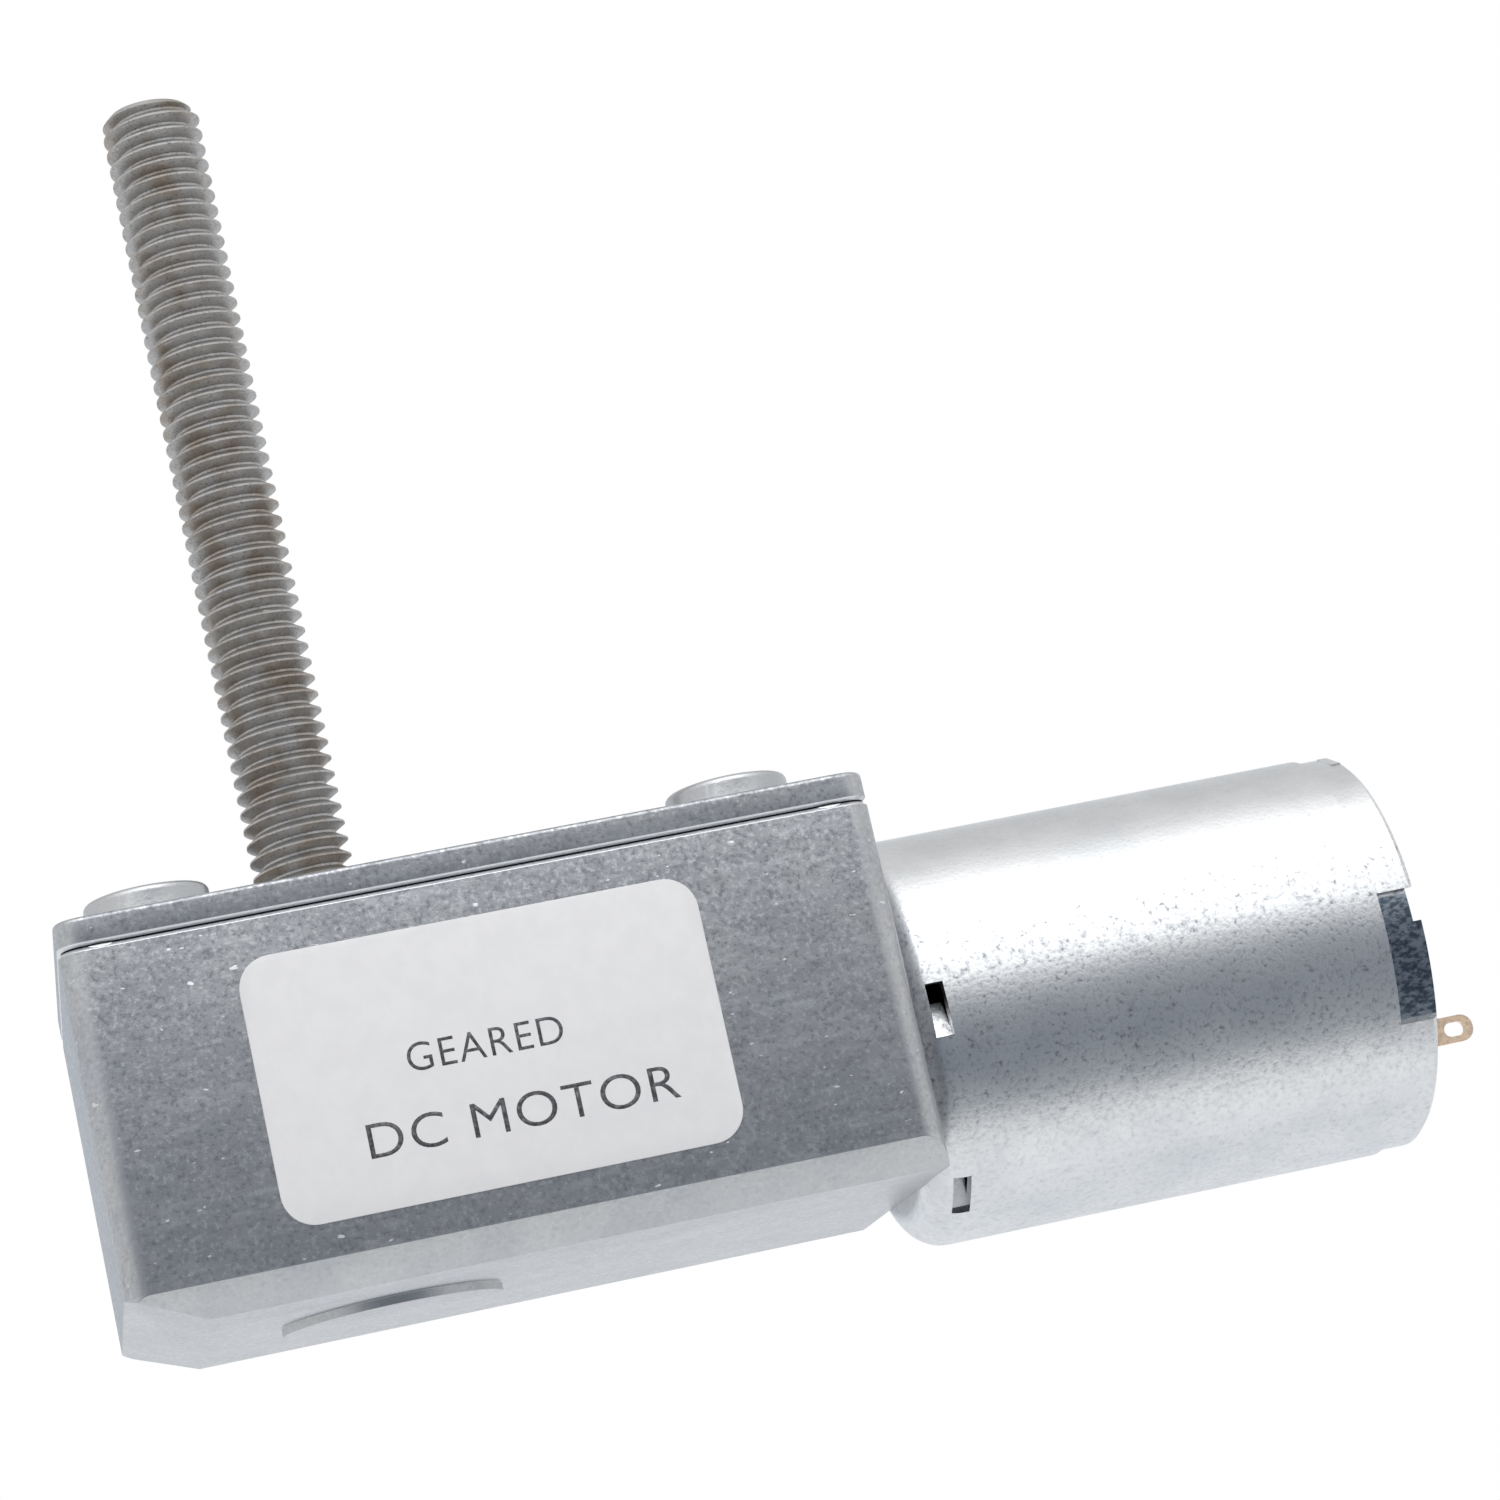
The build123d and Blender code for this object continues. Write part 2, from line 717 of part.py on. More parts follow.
# Magnet springs: open frames wedged between the magnets' edges.
spring_x = (37.0, 53.0)
spring_thickness = 0.7
spring_cutout = 6.0
with BuildPart() as magnet_springs:
    for centre in (0, 180):
        sector(
            station(spring_x[0]),
            spring_x[1] - spring_x[0],
            can_bore,
            can_bore - spring_thickness,
            centre,
            180 - magnet_span,
        )
    with Locations((spring_x[1], 0, motor_z)):
        Box(2 * (spring_x[1] - spring_x[0]) - 3, 3 * can_radius, spring_cutout, mode=Mode.SUBTRACT)
write(magnet_springs, "magnet_springs")

# Brush holder: a moulded ring behind the end cap, with blocks that grip the terminals.
holder_x = (58.6, 60.3)
block_height = 1.6
holder_radius = (3.6, can_bore - 0.3)
with BuildPart() as brush_holder:
    tube(station(holder_x[0]), holder_x[1] - holder_x[0], holder_radius[1], holder_radius[0])
    with BuildSketch(station(holder_x[1])):
        with Locations(*terminal_places):
            Rectangle(*terminal_block)
    extrude(amount=block_height)
    with BuildSketch(station(holder_x[0])):
        with Locations(*terminal_places):
            Rectangle(terminal_thickness, terminal_width)
    extrude(amount=holder_x[1] + block_height - holder_x[0], mode=Mode.SUBTRACT)
write(brush_holder, "brush_holder")

for name, side in (("terminal_lower", -1), ("terminal_upper", 1)):
    side_plane = Plane(
        origin=(0, side * terminal_y - terminal_thickness / 2, motor_z + side * terminal_z),
        x_dir=(1, 0, 0),
        z_dir=(0, 1, 0),
    )
    with BuildPart() as terminal:
        with BuildSketch(side_plane):
            with Locations(((terminal_root + terminal_tip) / 2, 0)):
                Rectangle(terminal_tip - terminal_root, terminal_width)
        extrude(amount=terminal_thickness)
        fillet(terminal.edges().filter_by(Axis.Y).group_by(Axis.X)[-1], terminal_width / 2 - 0.05)
        with BuildSketch(side_plane):
            with Locations((terminal_hole_x, 0)):
                SlotOverall(*terminal_hole)
        extrude(amount=terminal_thickness, mode=Mode.SUBTRACT)
    write(terminal, name)

arm_y = terminal_y - terminal_thickness / 2
arm_thickness = 0.2
arm_length = 8.8
arm_centre = 3.2
commutator_radius = 2.6
brush_gap = 0.04
brush_x = 57.0
brush_width = 1.6
with BuildPart() as brush_arms:
    for side in (-1, 1):
        with Locations((brush_x, side * (arm_y - arm_thickness / 2), motor_z + side * arm_centre)):
            Box(brush_width, arm_thickness, arm_length)
write(brush_arms, "brush_arms")

with BuildPart() as carbon_brushes:
    inner_end = commutator_radius + brush_gap
    outer_end = arm_y - arm_thickness
    for side in (-1, 1):
        with Locations((brush_x, side * (inner_end + outer_end) / 2, motor_z)):
            Box(brush_width, outer_end - inner_end, brush_width)
    with BuildSketch(station(brush_x - brush_width)):
        Circle(inner_end)
    extrude(amount=2 * brush_width, mode=Mode.SUBTRACT)
write(carbon_brushes, "carbon_brushes")

# ---------------------------------------------------------------- rotor

worm_x = (15.4, 26.2)
rotor_start = 14.6
rotor_end = 62.6
with BuildPart() as motor_shaft:
    with BuildSketch(station(rotor_start)):
        Circle(motor_shaft_radius)
    extrude(amount=rotor_end - rotor_start)
    chamfer(motor_shaft.edges().filter_by(GeomType.CIRCLE), 0.2)
write(motor_shaft, "motor_shaft")

# Worm: one right-hand start, cut so that a groove faces the wheel's tooth at the centre.
turns_before = 4
worm_groove = thread_groove(worm_radius, worm_lead, 8 * worm_lead, 1.25, 0.42, 1.17)
with BuildPart() as worm:
    with BuildSketch(station(worm_x[0])):
        Circle(worm_radius)
    extrude(amount=worm_x[1] - worm_x[0])
    chamfer(worm.edges().filter_by(GeomType.CIRCLE), 0.3)
    add(worm_groove.moved(station(axis_1[0] - turns_before * worm_lead).location), mode=Mode.SUBTRACT)
    with BuildSketch(station(worm_x[0])):
        Circle(motor_shaft_radius)
    extrude(amount=worm_x[1] - worm_x[0], mode=Mode.SUBTRACT)
write(worm, "worm")

pole_turns = (90, 210, 330)
shoe_radius = 6.5
slot_width = 2.2
neck_end = 6.8


def spokes(width, length):
    """Three radial bars in the current sketch."""
    for turn in pole_turns:
        with Locations(Location((0, 0), turn) * Location((length / 2, 0))):
            Rectangle(length, width)


with BuildPart() as core:
    with BuildSketch(station(core_x[0])):
        Circle(core_radius)
        Circle(shoe_radius, mode=Mode.SUBTRACT)
        for turn in pole_turns:
            with Locations(Location((0, 0), turn + 60) * Location((core_radius, 0))):
                Rectangle(core_radius, slot_width, mode=Mode.SUBTRACT)
        Circle(hub_radius)
        spokes(neck_width, neck_end)
        Circle(motor_shaft_radius, mode=Mode.SUBTRACT)
    extrude(amount=core_x[1] - core_x[0])
write(core, "armature_core")

insulator = 0.4
with BuildPart() as insulators:
    for start in (core_x[0] - insulator, core_x[1]):
        with BuildSketch(station(start)):
            Circle(hub_radius)
            spokes(neck_width, neck_end)
            Circle(motor_shaft_radius, mode=Mode.SUBTRACT)
        extrude(amount=insulator)
write(insulators, "core_insulators")

coil_u = (3.4, 5.5)
coil_half = 3.4
coil_reach = 2.2
coil_round = 0.8
core_middle = (core_x[0] + core_x[1]) / 2
core_length = core_x[1] - core_x[0]
with BuildPart() as windings:
    for turn in pole_turns:
        pole = Location((core_middle, 0, motor_z), (turn, 0, 0))
        with Locations(pole * Location((0, (coil_u[0] + coil_u[1]) / 2, 0))):
            Box(core_length + 2 * coil_reach, coil_u[1] - coil_u[0], 2 * coil_half)
            Box(core_length + 2 * insulator, 2 * (coil_u[1] - coil_u[0]), neck_width, mode=Mode.SUBTRACT)
    fillet(windings.edges().group_by(Axis.X)[0], coil_round)
    fillet(windings.edges().group_by(Axis.X)[-1], coil_round)
write(windings, "windings")

commutator_x = (55.3, 58.4)
commutator_base_x = (54.3, 58.6)
base_radius = 1.9
segment_span = 112
with BuildPart() as commutator_base:
    base_length = commutator_base_x[1] - commutator_base_x[0]
    tube(station(commutator_base_x[0]), base_length, base_radius, motor_shaft_radius)
write(commutator_base, "commutator_base")

with BuildPart() as segments:
    for centre in (30, 150, 270):
        sector(
            station(commutator_x[0]),
            commutator_x[1] - commutator_x[0],
            commutator_radius,
            base_radius,
            centre,
            segment_span,
        )
write(segments, "commutator_segments")

varistor_radius = 4.6
varistor_length = 0.7
with BuildPart() as varistor:
    tube(station(commutator_x[0] - varistor_length), varistor_length, varistor_radius, base_radius)
write(varistor, "varistor_ring")

spacer_x = (33.0, core_x[0] - insulator)
spacer_radius = 2.2
with BuildPart() as rotor_spacer:
    tube(station(spacer_x[0]), spacer_x[1] - spacer_x[0], spacer_radius, motor_shaft_radius)
write(rotor_spacer, "rotor_spacer")

with BuildPart() as rotor_washers:
    for washer_x, thickness in ((spacer_x[0] - 0.5, 0.5), (commutator_base_x[1] + 0.1, 0.4)):
        tube(station(washer_x), thickness, spacer_radius, motor_shaft_radius)
write(rotor_washers, "rotor_washers")
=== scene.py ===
import json
import math

import bmesh
import bpy
from mathutils import Matrix, Vector

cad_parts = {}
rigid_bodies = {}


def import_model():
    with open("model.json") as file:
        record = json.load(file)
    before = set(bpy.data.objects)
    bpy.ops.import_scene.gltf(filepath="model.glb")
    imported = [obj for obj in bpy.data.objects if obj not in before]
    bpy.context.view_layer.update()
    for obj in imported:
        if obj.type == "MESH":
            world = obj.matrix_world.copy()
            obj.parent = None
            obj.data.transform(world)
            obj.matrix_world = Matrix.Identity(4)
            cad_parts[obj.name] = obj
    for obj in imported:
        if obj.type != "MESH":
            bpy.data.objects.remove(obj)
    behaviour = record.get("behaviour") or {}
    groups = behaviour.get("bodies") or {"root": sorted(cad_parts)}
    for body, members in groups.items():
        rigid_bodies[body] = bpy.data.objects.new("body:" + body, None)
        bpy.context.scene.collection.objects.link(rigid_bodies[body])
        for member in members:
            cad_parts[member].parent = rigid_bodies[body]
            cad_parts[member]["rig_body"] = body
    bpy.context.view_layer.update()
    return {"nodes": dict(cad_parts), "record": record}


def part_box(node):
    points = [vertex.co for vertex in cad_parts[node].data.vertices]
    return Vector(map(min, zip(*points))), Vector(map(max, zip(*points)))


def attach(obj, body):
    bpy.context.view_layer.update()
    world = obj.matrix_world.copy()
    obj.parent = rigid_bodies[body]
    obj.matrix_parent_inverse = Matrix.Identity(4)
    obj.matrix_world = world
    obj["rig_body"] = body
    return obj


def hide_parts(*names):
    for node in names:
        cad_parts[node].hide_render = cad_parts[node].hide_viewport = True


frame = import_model()
nodes = frame["nodes"]
MM = 0.001

# ---------------------------------------------------------------- shader helpers


def colour_socket(sockets, name):
    """The colour socket of that name. A Mix node has one for each kind of value."""
    return next(s for s in sockets if s.name == name and s.type == "RGBA")


class Shader:
    """A procedural material: a Principled BSDF and short calls that add what feeds it."""

    def __init__(self, name, colour, metallic=0.0, roughness=0.5, **sockets):
        self.material = bpy.data.materials.new(name)
        self.material.use_nodes = True
        self.tree = self.material.node_tree
        self.bsdf = self.tree.nodes["Principled BSDF"]
        self.set("Base Color", (*colour, 1.0))
        self.set("Metallic", metallic)
        self.set("Roughness", roughness)
        for socket, value in sockets.items():
            self.set(socket.replace("_", " "), value)
        self.place = self.add("ShaderNodeTexCoord").outputs["Object"]

    def set(self, socket, value):
        self.bsdf.inputs[socket].default_value = value

    def add(self, kind, **values):
        node = self.tree.nodes.new(kind)
        for key, value in values.items():
            setattr(node, key, value)
        return node

    def link(self, source, target):
        self.tree.links.new(source, target)

    def stretched(self, scale):
        """Object coordinates, scaled on each axis."""
        node = self.add("ShaderNodeMapping")
        node.inputs["Scale"].default_value = scale
        self.link(self.place, node.inputs["Vector"])
        return node.outputs["Vector"]

    def noise(self, size, detail=3.0, rough=0.6, stretch=(1, 1, 1), distortion=0.0):
        """Noise from 0 to 1 whose blobs are about size metres across."""
        node = self.add("ShaderNodeTexNoise")
        node.inputs["Scale"].default_value = 1.0 / size
        node.inputs["Detail"].default_value = detail
        node.inputs["Roughness"].default_value = rough
        node.inputs["Distortion"].default_value = distortion
        self.link(self.stretched(stretch), node.inputs["Vector"])
        return node.outputs["Fac"]

    def ramp(self, source, low, high, low_value=0.0, high_value=1.0):
        """Maps a factor smoothly from low..high to low_value..high_value."""
        node = self.add("ShaderNodeMapRange", interpolation_type="SMOOTHSTEP")
        for socket, value in zip(
            ("From Min", "From Max", "To Min", "To Max"), (low, high, low_value, high_value)
        ):
            node.inputs[socket].default_value = value
        self.link(source, node.inputs["Value"])
        return node.outputs["Result"]

    def math(self, operation, first, second=0.0):
        node = self.add("ShaderNodeMath", operation=operation)
        for socket, value in zip(node.inputs, (first, second)):
            if isinstance(value, (int, float)):
                socket.default_value = value
            else:
                self.link(value, socket)
        return node.outputs["Value"]

    def mix(self, factor, first, second):
        """Mixes two colours, each a tuple or a socket."""
        node = self.add("ShaderNodeMix", data_type="RGBA")
        self.link(factor, node.inputs["Factor"])
        for name, value in (("A", first), ("B", second)):
            socket = colour_socket(node.inputs, name)
            if isinstance(value, tuple):
                socket.default_value = (*value, 1.0)
            else:
                self.link(value, socket)
        return colour_socket(node.outputs, "Result")

    def layers(self, base, *rows):
        """Lays tones over a base. A row is a factor, where it starts and is full, how much, and the tone."""
        for factor, start, full, most, tone in rows:
            base = self.mix(self.ramp(factor, start, full, 0.0, most), base, tone)
        return base

    def colour(self, source):
        self.link(source, self.bsdf.inputs["Base Color"])

    def roughness(self, source):
        self.link(source, self.bsdf.inputs["Roughness"])

    def bump(self, height, distance):
        node = self.add("ShaderNodeBump")
        node.inputs["Distance"].default_value = distance
        node.inputs["Strength"].default_value = 1.0
        self.link(height, node.inputs["Height"])
        self.link(node.outputs["Normal"], self.bsdf.inputs["Normal"])

    def axis(self, index):
        """One object coordinate, in metres."""
        node = self.add("ShaderNodeSeparateXYZ")
        self.link(self.place, node.inputs["Vector"])
        return node.outputs[index]


def die_cast(node):
    """Die casting: a finely grained satin blue-grey, smoother on its upright corners, the bevel underneath,
    its top and the seam's lips, with a painted highlight (a paler colour) there and a painted dark line of
    shade in the seam's gap.
    """
    m = Shader(f"die_cast_{node}", (0.34, 0.35, 0.375), 0.9, 0.42)
    low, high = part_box(node)
    specks = m.noise(0.26 * MM, 3.0, 0.6)
    grain = m.noise(0.6 * MM, 3.0, 0.6, stretch=(0.55, 1.0, 1.15))
    clouds = m.noise(4.5 * MM, 4.0, 0.6)
    streaks = m.noise(0.9 * MM, 3.0, 0.55, stretch=(0.13, 1.0, 1.2), distortion=0.3)
    nicks = m.noise(0.55 * MM, 2.0, 0.4, stretch=(0.6, 1.0, 1.3))
    base = m.mix(m.ramp(clouds, 0.3, 0.7), (0.29, 0.30, 0.33), (0.33, 0.34, 0.355))
    base = m.layers(
        base,
        (streaks, 0.5, 0.72, 0.55, (0.43, 0.45, 0.48)),
        (streaks, 0.48, 0.3, 0.35, (0.22, 0.23, 0.255)),
        (specks, 0.52, 0.68, 0.7, (0.54, 0.55, 0.57)),
        (specks, 0.47, 0.33, 0.7, (0.16, 0.165, 0.18)),
        (grain, 0.52, 0.7, 0.4, (0.47, 0.48, 0.50)),
        (nicks, 0.71, 0.75, 0.9, (0.9, 0.9, 0.91)),
    )
    # Masks for the painted highlight: the upright corners, the bevel underneath, the top (the cover and its
    # bosses) and the seam's lips.
    from_middle = m.math("ABSOLUTE", m.math("SUBTRACT", m.axis("X"), (low.x + high.x) / 2))
    reach = (high.x - low.x) / 2
    end = m.ramp(from_middle, reach - CORNER_ROUND, reach - CORNER_INNER)
    across = m.math("ABSOLUTE", m.axis("Y"))
    side = m.ramp(across, high.y - CORNER_ROUND, high.y - CORNER_INNER)
    corner = m.math("MULTIPLY", end, side)
    under = m.ramp(m.axis("Z"), BEVEL_TOP + 0.1 * MM, BEVEL_TOP - 0.05 * MM)
    top = m.ramp(m.axis("Z"), -0.02 * MM, 0.15 * MM)
    from_seam = m.math("ABSOLUTE", m.math("SUBTRACT", m.axis("Z"), SEAM))
    lip = m.ramp(from_seam, SEAM_LIP, SEAM_LIP - 0.08 * MM)
    edges = m.math("MAXIMUM", m.math("MAXIMUM", under, top), lip)
    # Painted highlight mask: full on those edges and 0.6 on the upright corners. The casting is also smoother
    # there.
    painted_highlight_and_smooth = m.math("MAXIMUM", edges, m.math("MULTIPLY", corner, 0.6))
    # The paler tones of the painted highlight.
    pale = m.mix(m.ramp(clouds, 0.3, 0.7), (0.41, 0.425, 0.445), (0.47, 0.48, 0.49))
    pale = m.layers(pale, (specks, 0.42, 0.3, 0.35, (0.34, 0.35, 0.38)))
    # Painted highlight: bright lines on the seam's lips.
    pale = m.mix(lip, pale, (0.66, 0.67, 0.69))
    # Painted shade: a near-black line in the seam's gap between cover and housing.
    pale = m.mix(m.ramp(from_seam, SEAM_LINE, SEAM_LINE - 0.04 * MM), pale, (0.03, 0.03, 0.035))
    m.colour(m.mix(painted_highlight_and_smooth, base, pale))
    m.roughness(m.math("ADD", m.ramp(specks, 0.3, 0.7, 0.45, 0.33), m.ramp(painted_highlight_and_smooth, 0.0, 1.0, 0.0, -0.06)))
    m.bump(specks, 0.012 * MM)
    return m.material


def drawn_steel():
    """Zinc-plated deep-drawn steel: satin bright, faintly mottled, with painted shade (dark and mottled) over
    the rear pocket.
    """
    m = Shader("drawn_steel", (0.66, 0.67, 0.68), 1.0, 0.3)
    mottle = m.noise(0.32 * MM, 4.0, 0.65)
    patches = m.noise(4.0 * MM, 3.0, 0.6)
    drawn = m.noise(0.5 * MM, 2.0, 0.5, stretch=(0.08, 1.0, 1.0))
    base = m.mix(m.ramp(patches, 0.3, 0.7), (0.62, 0.635, 0.65), (0.70, 0.71, 0.715))
    base = m.layers(base, (drawn, 0.5, 0.8, 0.25, (0.56, 0.58, 0.61)))
    low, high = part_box("motor_can")
    outward = m.math("MULTIPLY", m.axis("Y"), -1.0)
    upward = m.math("SUBTRACT", m.axis("Z"), (low.z + high.z) / 2)
    angle = m.math("ARCTAN2", upward, outward)
    # Darker mottle and spots: full on the near side between the listed angles, fainter elsewhere.
    near_side = [m.ramp(angle, *map(math.radians, turn)) for turn in MOTTLED_FROM_AND_TO]
    near_side_mottle = m.math("MULTIPLY", *near_side)
    near_side_mottle = m.math("ADD", m.math("MULTIPLY", near_side_mottle, 1.0 - MOTTLE_ELSEWHERE), MOTTLE_ELSEWHERE)
    dark_mottle = m.math("MULTIPLY", m.ramp(mottle, 0.54, 0.4, 0.0, 0.7), near_side_mottle)
    base = m.mix(dark_mottle, base, (0.42, 0.44, 0.47))
    spots = m.math("MULTIPLY", m.ramp(mottle, 0.4, 0.32, 0.0, 0.8), near_side_mottle)
    base = m.mix(spots, base, (0.2, 0.205, 0.22))
    # Painted shade over the rear pocket: a dark, bluish mottle in place of the steel's own tone.
    past_step = m.ramp(m.axis("X"), POCKET_FRONT, POCKET_FRONT + 0.1 * MM)
    squares = m.math("ADD", m.math("MULTIPLY", upward, upward), m.math("MULTIPLY", outward, outward))
    outside = m.ramp(m.math("SQRT", squares), POCKET_RADIUS, POCKET_RADIUS + 0.15 * MM)
    above = m.ramp(angle, math.radians(POCKET_LOW), math.radians(POCKET_LOW + 1))
    below = m.ramp(angle, math.radians(POCKET_HIGH), math.radians(POCKET_HIGH - 1))
    pocket = m.math("MULTIPLY", m.math("MULTIPLY", past_step, outside), m.math("MULTIPLY", above, below))
    pocket_shade_noise = m.noise(0.3 * MM, 3.0, 0.6, stretch=(0.6, 1.0, 1.0))
    dark = m.mix(m.ramp(pocket_shade_noise, 0.38, 0.62), (0.07, 0.095, 0.125), (0.25, 0.285, 0.33))
    m.colour(m.mix(pocket, base, dark))
    m.roughness(m.ramp(mottle, 0.3, 0.7, 0.4, 0.28))
    m.bump(mottle, 0.018 * MM)
    return m.material


def rolled_thread():
    """Rolled steel thread, dull and grey-brown, with rusty tinges in patches."""
    m = Shader("rolled_thread", (0.30, 0.28, 0.26), 0.95, 0.42)
    patches = m.noise(2.6 * MM, 3.0, 0.6, stretch=(1.0, 1.0, 0.6))
    grain = m.noise(0.16 * MM, 3.0, 0.65)
    base = m.mix(m.ramp(patches, 0.42, 0.66), (0.44, 0.435, 0.43), (0.35, 0.315, 0.28))
    tones = (
        (grain, 0.45, 0.3, 0.7, (0.15, 0.135, 0.125)),
        (grain, 0.6, 0.75, 0.4, (0.55, 0.53, 0.50)),
    )
    m.colour(m.layers(base, *tones))
    m.roughness(m.ramp(grain, 0.3, 0.7, 0.55, 0.36))
    m.bump(grain, 0.01 * MM)
    return m.material


def plain_metal(name, light, dark, roughness, grain=0.25 * MM):
    """A metal with fine grain, between two tones."""
    m = Shader(name, light, 1.0, roughness)
    fine = m.noise(grain, 3.0, 0.6)
    broad = m.noise(2.5 * MM, 2.0, 0.5)
    between = tuple(0.5 * (a + b) for a, b in zip(light, dark))
    base = m.mix(m.ramp(broad, 0.3, 0.7), light, between)
    m.colour(m.layers(base, (fine, 0.45, 0.3, 0.7, dark)))
    m.roughness(m.ramp(fine, 0.3, 0.7, roughness + 0.1, roughness - 0.06))
    m.bump(fine, 0.006 * MM)
    return m.material


def moulded(name, light, dark, roughness):
    """Moulded or pressed non-metal with a faint grain."""
    m = Shader(name, light, 0.0, roughness)
    fine = m.noise(0.18 * MM, 4.0, 0.6)
    m.colour(m.mix(m.ramp(fine, 0.35, 0.65), dark, light))
    m.roughness(m.ramp(fine, 0.3, 0.7, roughness + 0.08, roughness - 0.05))
    m.bump(fine, 0.008 * MM)
    return m.material


def enamelled_wire():
    """Layers of fine enamelled wire, wound across the pole."""
    m = Shader("enamelled_wire", (0.55, 0.2, 0.06), 0.75, 0.3, Coat_Weight=0.4)
    wave = m.add("ShaderNodeTexWave", wave_type="BANDS", bands_direction="DIAGONAL")
    wave.inputs["Scale"].default_value = 1.0 / (0.6 * MM)
    wave.inputs["Distortion"].default_value = 0.6
    m.link(m.place, wave.inputs["Vector"])
    m.colour(m.mix(wave.outputs["Fac"], (0.22, 0.06, 0.015), (0.66, 0.26, 0.08)))
    m.bump(wave.outputs["Fac"], 0.05 * MM)
    return m.material


def stacked_sheets():
    """Thin steel sheets stacked along the motor's axis."""
    m = Shader("stacked_sheets", (0.4, 0.4, 0.42), 1.0, 0.4)
    wave = m.add("ShaderNodeTexWave", wave_type="BANDS", bands_direction="X")
    wave.inputs["Scale"].default_value = 1.0 / (3.2 * MM)
    m.link(m.place, wave.inputs["Vector"])
    m.colour(m.mix(m.ramp(wave.outputs["Fac"], 0.0, 0.3), (0.12, 0.12, 0.13), (0.42, 0.42, 0.44)))
    m.bump(wave.outputs["Fac"], 0.03 * MM)
    return m.material


def label_paper():
    """Coated paper, off-white, with a faint mottle and a few specks."""
    m = Shader("label_paper", (0.72, 0.72, 0.73), 0.0, 0.5)
    mottle = m.noise(1.6 * MM, 3.0, 0.6)
    specks = m.noise(0.25 * MM, 2.0, 0.5)
    base = m.mix(m.ramp(mottle, 0.3, 0.7), (0.565, 0.565, 0.58), (0.59, 0.59, 0.60))
    m.colour(m.layers(base, (specks, 0.26, 0.2, 0.6, (0.5, 0.5, 0.5))))
    m.roughness(m.ramp(mottle, 0.3, 0.7, 0.5, 0.42))
    m.bump(m.noise(0.12 * MM, 3.0, 0.6), 0.003 * MM)
    return m.material


def ink():
    """Thermal-print ink, not quite even."""
    m = Shader("ink", (0.045, 0.045, 0.05), 0.0, 0.55)
    wear = m.noise(0.2 * MM, 3.0, 0.6)
    m.colour(m.mix(m.ramp(wear, 0.4, 0.75), (0.035, 0.035, 0.04), (0.14, 0.14, 0.15)))
    m.roughness(m.ramp(wear, 0.3, 0.7, 0.6, 0.45))
    return m.material


# Where the castings are smoother and carry a painted highlight: their upright corners, the bevel underneath
# and the seam's lips. A painted dark line of shade runs in the seam's gap.
CORNER_ROUND = 1.5 * MM
CORNER_INNER = 1.2 * MM
BEVEL_TOP = -21.2 * MM
SEAM = -1.7 * MM
SEAM_LIP = 0.30 * MM
SEAM_LINE = 0.07 * MM

# The can. Its angles are in degrees: 0 is level on the near side, 90 straight up.
MOTTLED_FROM_AND_TO = ((-42, -20), (40, 16))
MOTTLE_ELSEWHERE = 0.2
POCKET_FRONT = 60.02 * MM
POCKET_RADIUS = 11.45 * MM
POCKET_LOW = -29.6
POCKET_HIGH = 7.6

INK = ink()
CASTINGS = {node: die_cast(node) for node in ("gearbox_housing", "gearbox_cover")}
MATERIALS = {
    "plated_steel": plain_metal("plated_steel", (0.66, 0.66, 0.68), (0.3, 0.3, 0.32), 0.3),
    "can_steel": drawn_steel(),
    "label_paper": label_paper(),
    "sintered_bronze": plain_metal("sintered_bronze", (0.5, 0.33, 0.16), (0.2, 0.12, 0.06), 0.45, 0.12 * MM),
    "screw_steel": rolled_thread(),
    "ground_steel": plain_metal("ground_steel", (0.6, 0.6, 0.61), (0.4, 0.4, 0.42), 0.22),
    "gear_steel": plain_metal("gear_steel", (0.42, 0.42, 0.43), (0.2, 0.2, 0.21), 0.33),
    "gear_brass": plain_metal("gear_brass", (0.72, 0.52, 0.2), (0.42, 0.28, 0.1), 0.3),
    "spring_steel": plain_metal("spring_steel", (0.2, 0.19, 0.18), (0.08, 0.08, 0.08), 0.4),
    "washer_plastic": moulded("washer_plastic", (0.74, 0.72, 0.66), (0.66, 0.64, 0.58), 0.5),
    "ferrite": moulded("ferrite", (0.06, 0.06, 0.065), (0.025, 0.025, 0.03), 0.7),
    "moulded_plastic": moulded("moulded_plastic", (0.8, 0.78, 0.7), (0.7, 0.68, 0.6), 0.42),
    "fibre": moulded("fibre", (0.12, 0.3, 0.14), (0.06, 0.2, 0.08), 0.6),
    "terminal_copper": plain_metal("terminal_copper", (0.98, 0.76, 0.56), (0.84, 0.58, 0.4), 0.34),
    "enamelled_wire": enamelled_wire(),
    "carbon": moulded("carbon", (0.03, 0.03, 0.03), (0.012, 0.012, 0.012), 0.5),
    "lamination_steel": stacked_sheets(),
    "varistor": moulded("varistor", (0.1, 0.1, 0.11), (0.05, 0.05, 0.055), 0.55),
}

for row in frame["record"]["subparts"]:
    finish = CASTINGS.get(row["node"]) or MATERIALS[row["material_slot"]]
    mesh = nodes[row["node"]].data
    mesh.materials.clear()
    mesh.materials.append(finish)

# ---------------------------------------------------------------- pieces


# How near vertices are welded, the bend taken as flat, and the bend that gets rounded.
WELD = 0.0005 * MM
FLAT = math.radians(0.4)
SHARP = math.radians(28)


def smooth_by_angle(mesh, degrees):
    """Smooth shading, broken at edges sharper than the angle."""
    mesh.polygons.foreach_set("use_smooth", [True] * len(mesh.polygons))
    mesh.set_sharp_from_angle(angle=math.radians(degrees))


